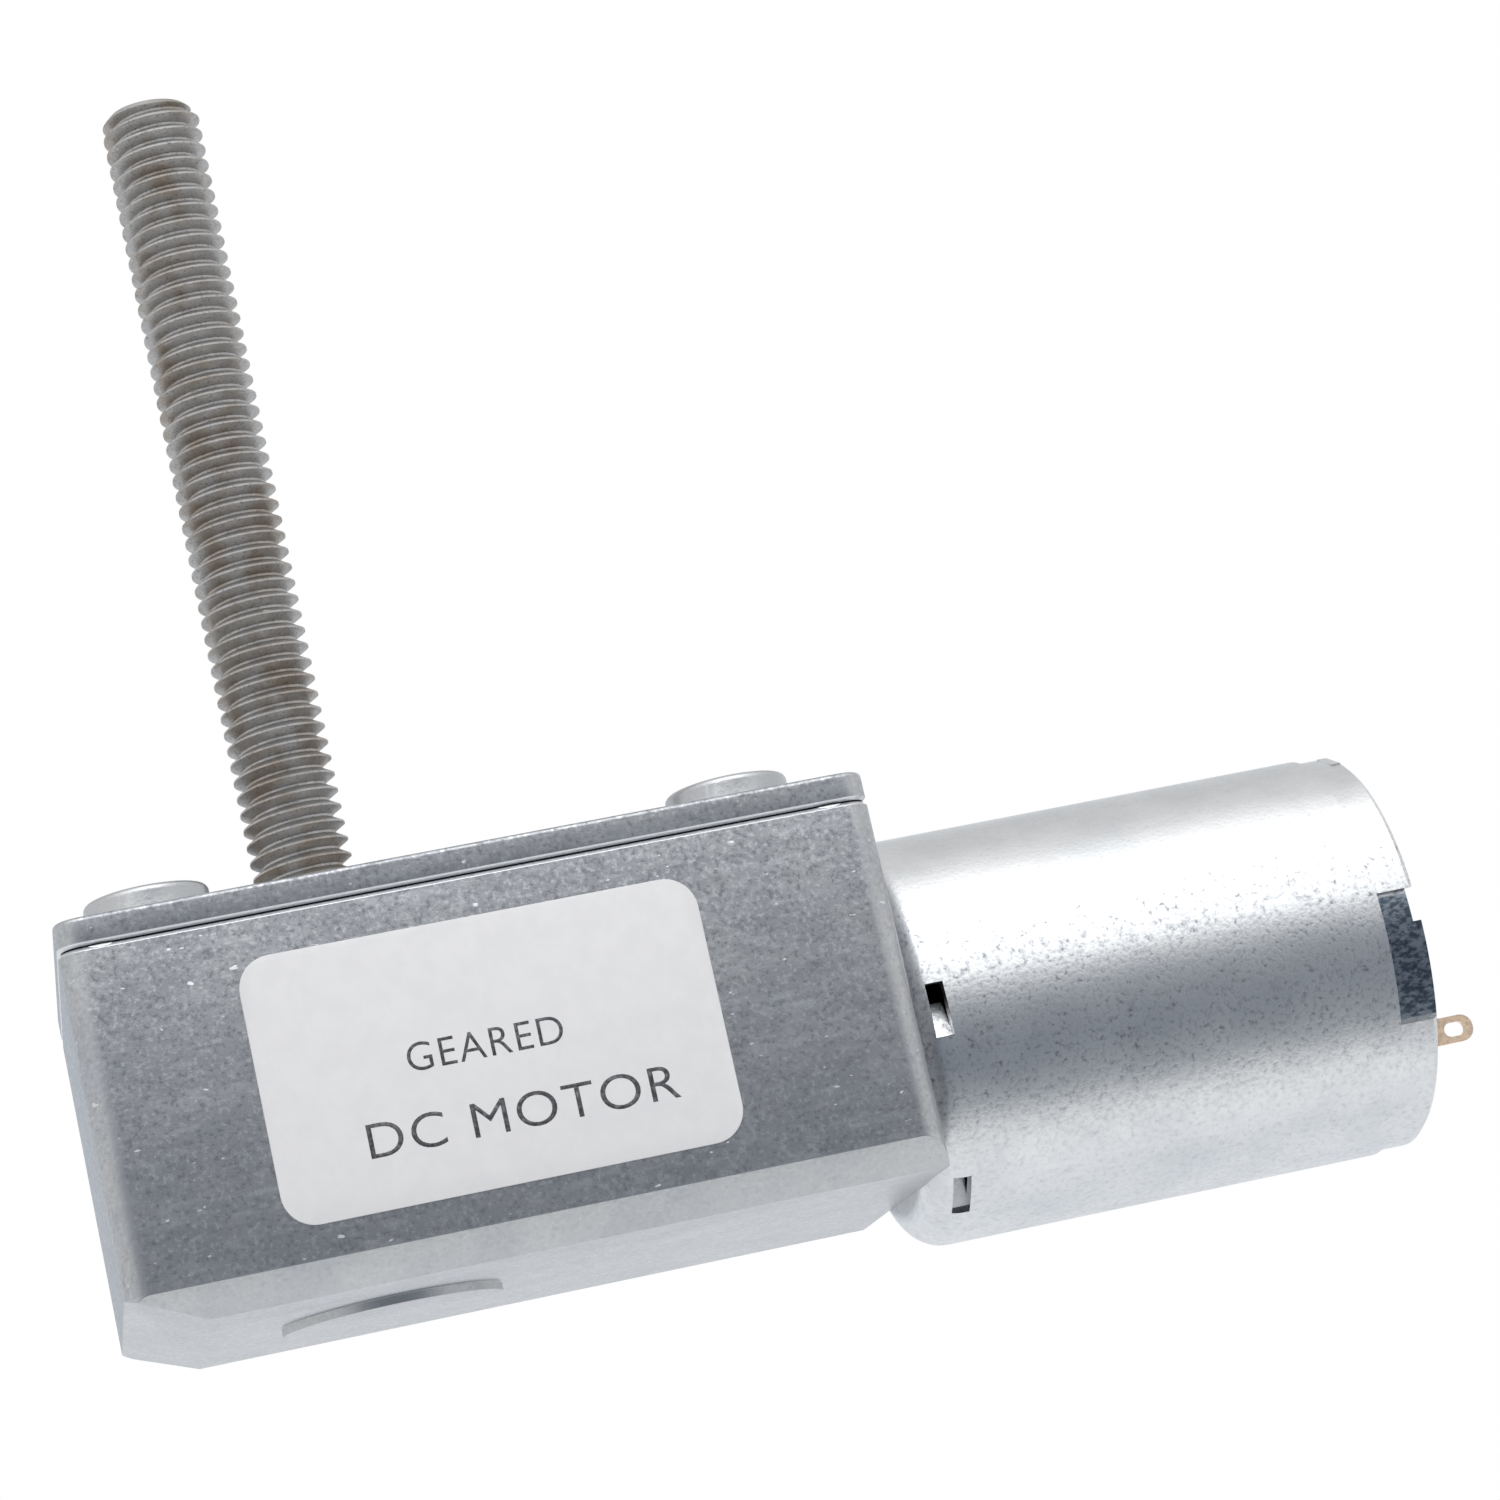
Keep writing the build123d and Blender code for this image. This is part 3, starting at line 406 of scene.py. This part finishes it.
def softened(node, width):
    """A copy of a CAD node with its sharp edges rounded, standing for that node."""
    mesh = nodes[node].data.copy()
    piece = bpy.data.objects.new(f"{node}_finished", mesh)
    bpy.context.scene.collection.objects.link(piece)
    edit = bmesh.new()
    edit.from_mesh(mesh)
    bmesh.ops.remove_doubles(edit, verts=edit.verts, dist=WELD)
    bmesh.ops.dissolve_limit(
        edit, angle_limit=FLAT, verts=edit.verts, edges=edit.edges, delimit={"NORMAL"}
    )
    edit.to_mesh(mesh)
    edit.free()
    bevel = piece.modifiers.new("rounding", "BEVEL")
    bevel.width = width
    bevel.segments = 3
    bevel.limit_method = "ANGLE"
    bevel.angle_limit = SHARP
    bevel.use_clamp_overlap = True
    depsgraph = bpy.context.evaluated_depsgraph_get()
    final = bpy.data.meshes.new_from_object(piece.evaluated_get(depsgraph))
    piece.modifiers.clear()
    piece.data = final
    smooth_by_angle(final, 32)
    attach(piece, nodes[node]["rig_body"])
    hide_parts(node)


# The sheet's edge from back to front: how far in, and at what share of the thickness.
CROWN = ((0.0, 0.0), (0.0, 0.5), (0.02 * MM, 0.85), (0.06 * MM, 1.0))


def rounded_sheet(low, high, radius, thickness, lift, name):
    """A thin sheet facing -Y, with its back at y = lift, rounded corners and a crowned edge."""
    arc_steps = 10
    corners = (
        (high.x - radius, high.z - radius, 0),
        (low.x + radius, high.z - radius, 90),
        (low.x + radius, low.z + radius, 180),
        (high.x - radius, low.z + radius, 270),
    )
    outline = []
    for x, z, start in corners:
        for step in range(arc_steps + 1):
            turn = math.radians(start + 90 * step / arc_steps)
            outline.append((x + radius * math.cos(turn), z + radius * math.sin(turn)))
    edit = bmesh.new()
    middle = (low + high) / 2
    rings = []
    for inset, out in CROWN:
        ring = []
        for x, z in outline:
            inward = Vector((middle.x - x, 0, middle.z - z)).normalized() * inset
            ring.append(edit.verts.new((x + inward.x, lift - thickness * out, z + inward.z)))
        rings.append(ring)
    for first, second in zip(rings, rings[1:]):
        for i in range(len(outline)):
            j = (i + 1) % len(outline)
            edit.faces.new((first[i], first[j], second[j], second[i]))
    edit.faces.new(rings[-1])
    edit.faces.new(list(reversed(rings[0])))
    bmesh.ops.recalc_face_normals(edit, faces=edit.faces)
    mesh = bpy.data.meshes.new(name)
    edit.to_mesh(mesh)
    edit.free()
    piece = bpy.data.objects.new(name, mesh)
    bpy.context.scene.collection.objects.link(piece)
    smooth_by_angle(mesh, 40)
    return piece


LETTER_SPACING = 1.08
LETTER_THINNING = -0.006
INK_THICKNESS = 0.006 * MM


def printed_line(words, width, height, left, baseline, front, name):
    """A line of print on the label: thin raised letters facing -Y, drawn to a width and height."""
    curve = bpy.data.curves.new(name, "FONT")
    curve.body = words
    curve.space_character = LETTER_SPACING
    curve.offset = LETTER_THINNING
    curve.resolution_u = 6
    source = bpy.data.objects.new(name, curve)
    bpy.context.scene.collection.objects.link(source)
    depsgraph = bpy.context.evaluated_depsgraph_get()
    mesh = bpy.data.meshes.new_from_object(source.evaluated_get(depsgraph))
    bpy.data.objects.remove(source)
    xs = [v.co.x for v in mesh.vertices]
    ys = [v.co.y for v in mesh.vertices]
    for v in mesh.vertices:
        across = (v.co.x - min(xs)) / (max(xs) - min(xs))
        up = (v.co.y - min(ys)) / (max(ys) - min(ys))
        v.co = (left + across * width, front, baseline + up * height)
    edit = bmesh.new()
    edit.from_mesh(mesh)
    bmesh.ops.solidify(edit, geom=edit.faces, thickness=INK_THICKNESS)
    bmesh.ops.recalc_face_normals(edit, faces=edit.faces)
    edit.to_mesh(mesh)
    edit.free()
    text = bpy.data.objects.new(name, mesh)
    mesh.materials.clear()
    mesh.materials.append(INK)
    bpy.context.scene.collection.objects.link(text)
    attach(text, "gearmotor")


softened("gearbox_housing", width=0.12 * MM)
softened("gearbox_cover", width=0.1 * MM)

LABEL_CORNER = 1.9 * MM
LABEL_THICKNESS = 0.08 * MM
INK_LIFT = 0.086 * MM
# Each line of print: its words, width, height, left end and baseline, in mm.
PRINT = (
    ("GEARED", 8.8, 1.6, 2.2, -12.1),
    ("DC MOTOR", 17.5, 1.95, -0.8, -16.4),
)

label_low, label_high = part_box("label")
label_sheet = rounded_sheet(label_low, label_high, LABEL_CORNER, LABEL_THICKNESS, label_high.y, "label_sheet")
label_sheet.data.materials.append(MATERIALS["label_paper"])
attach(label_sheet, "gearmotor")
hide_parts("label")
text_front = label_high.y - INK_LIFT
for number, (words, *place) in enumerate(PRINT, 1):
    printed_line(words, *(value * MM for value in place), text_front, f"label_line_{number}")

# ---------------------------------------------------------------- camera, light and floor

CAMERA_AZIMUTH = math.radians(-10.92)
CAMERA_ELEVATION = math.radians(-11.37)
CAMERA_ROLL = math.radians(-12.79)
CAMERA_DISTANCE = 263.5 * MM
CAMERA_TARGET = Vector((27.9 * MM, 0, 5.5 * MM))
SENSOR = 36.0
FOCAL_TO_WIDTH = 2.9035

# Brightness round the part, seen along X: 0 is level in front, 90 overhead, -90 straight down.
WHITE = (1.0, 1.0, 1.0)
COOL = (0.86, 0.93, 1.0)
PALE = (0.94, 0.965, 1.0)
SLATE = (0.76, 0.86, 1.0)
STUDIO = (
    (-180, 0.50, PALE),
    (-110, 0.50, PALE),
    (-68, 0.56, WHITE),
    (-50, 0.20, COOL),
    (-25, 0.145, SLATE),
    (8, 0.15, SLATE),
    (16, 0.24, WHITE),
    (29, 0.90, WHITE),
    (72, 0.90, WHITE),
    (95, 0.42, WHITE),
    (114, 0.34, WHITE),
    (140, 0.33, WHITE),
    (165, 0.45, COOL),
)
SIDE_LEVEL = 0.45
SIDE_FROM_AND_TO = (0.35, 0.9)
STUDIO_GAIN = 2.2
FLOOR_HALF_WIDTH = 1.2
FLOOR_HEIGHT = -75 * MM


def add_camera():
    back = Vector(
        (
            math.sin(CAMERA_AZIMUTH) * math.cos(CAMERA_ELEVATION),
            -math.cos(CAMERA_AZIMUTH) * math.cos(CAMERA_ELEVATION),
            math.sin(CAMERA_ELEVATION),
        )
    )
    level_right = Vector((math.cos(CAMERA_AZIMUTH), math.sin(CAMERA_AZIMUTH), 0))
    level_up = back.cross(level_right)
    right = math.cos(CAMERA_ROLL) * level_right + math.sin(CAMERA_ROLL) * level_up
    up = back.cross(right)
    data = bpy.data.cameras.new("camera")
    data.sensor_width = SENSOR
    data.lens = SENSOR * FOCAL_TO_WIDTH
    data.clip_start = 0.01
    camera = bpy.data.objects.new("camera", data)
    turn = Matrix((right, up, back)).transposed().to_4x4()
    camera.matrix_world = Matrix.Translation(CAMERA_TARGET + back * CAMERA_DISTANCE) @ turn
    bpy.context.scene.collection.objects.link(camera)
    bpy.context.scene.camera = camera


def add_area(name, place, aim, size, power):
    data = bpy.data.lights.new(name, "AREA")
    data.shape = "RECTANGLE"
    data.size, data.size_y = size
    data.energy = power
    light = bpy.data.objects.new(name, data)
    light.location = place
    light.rotation_euler = (Vector(aim) - Vector(place)).to_track_quat("-Z", "Y").to_euler()
    bpy.context.scene.collection.objects.link(light)


def add_world():
    """A studio that looks white to the camera. It lights the part most from high in front."""
    world = bpy.data.worlds.new("studio")
    bpy.context.scene.world = world
    world.use_nodes = True
    tree = world.node_tree
    add = tree.nodes.new
    link = tree.links.new
    background = tree.nodes["Background"]
    place = add("ShaderNodeTexCoord")
    split = add("ShaderNodeSeparateXYZ")
    link(place.outputs["Generated"], split.inputs["Vector"])
    forward = add("ShaderNodeMath")
    forward.operation = "MULTIPLY"
    forward.inputs[1].default_value = -1.0
    link(split.outputs["Y"], forward.inputs[0])
    height = add("ShaderNodeMath")
    height.operation = "ARCTAN2"
    link(split.outputs["Z"], height.inputs[0])
    link(forward.outputs["Value"], height.inputs[1])
    turn = add("ShaderNodeMapRange")
    turn.inputs["From Min"].default_value = -math.pi
    turn.inputs["From Max"].default_value = math.pi
    link(height.outputs["Value"], turn.inputs["Value"])
    ramp = add("ShaderNodeValToRGB")
    elements = ramp.color_ramp.elements
    while len(elements) > 1:
        elements.remove(elements[-1])
    for degrees, level, tint in STUDIO:
        position = (degrees + 180) / 360
        element = elements.new(position) if position > 0 else elements[0]
        element.position = position
        element.color = (*(level * c for c in tint), 1.0)
    link(turn.outputs["Result"], ramp.inputs["Fac"])
    sides = add("ShaderNodeMapRange")
    sides.interpolation_type = "SMOOTHSTEP"
    for socket, value in zip(("From Min", "From Max"), SIDE_FROM_AND_TO):
        sides.inputs[socket].default_value = value
    width = add("ShaderNodeMath")
    width.operation = "ABSOLUTE"
    link(split.outputs["X"], width.inputs[0])
    link(width.outputs["Value"], sides.inputs["Value"])
    ends = add("ShaderNodeMix")
    ends.data_type = "RGBA"
    colour_socket(ends.inputs, "B").default_value = (SIDE_LEVEL, SIDE_LEVEL, SIDE_LEVEL, 1)
    link(sides.outputs["Result"], ends.inputs["Factor"])
    link(ramp.outputs["Color"], colour_socket(ends.inputs, "A"))
    scale = add("ShaderNodeVectorMath")
    scale.operation = "SCALE"
    scale.inputs["Scale"].default_value = STUDIO_GAIN
    link(colour_socket(ends.outputs, "Result"), scale.inputs["Vector"])
    seen = add("ShaderNodeLightPath")
    backdrop = add("ShaderNodeMix")
    backdrop.data_type = "RGBA"
    colour_socket(backdrop.inputs, "B").default_value = (1.0, 1.0, 1.0, 1)
    link(seen.outputs["Is Camera Ray"], backdrop.inputs["Factor"])
    link(scale.outputs["Vector"], colour_socket(backdrop.inputs, "A"))
    link(colour_socket(backdrop.outputs, "Result"), background.inputs["Color"])


def add_floor():
    """A plain pale floor, below the camera's height."""
    edit = bmesh.new()
    bmesh.ops.create_grid(edit, x_segments=1, y_segments=1, size=FLOOR_HALF_WIDTH)
    mesh = bpy.data.meshes.new("floor")
    edit.to_mesh(mesh)
    edit.free()
    floor = bpy.data.objects.new("floor", mesh)
    floor.location = (0, 0, FLOOR_HEIGHT)
    bpy.context.scene.collection.objects.link(floor)
    mesh.materials.append(Shader("floor_paint", (0.82, 0.82, 0.82), 0.0, 0.9).material)
    floor.visible_glossy = False


add_camera()
add_world()
add_floor()
add_area("overhead", place=(0.05, -0.3, 0.45), aim=(0.03, 0, 0), size=(0.35, 0.25), power=0.5)
bpy.context.scene.view_settings.view_transform = "Standard"
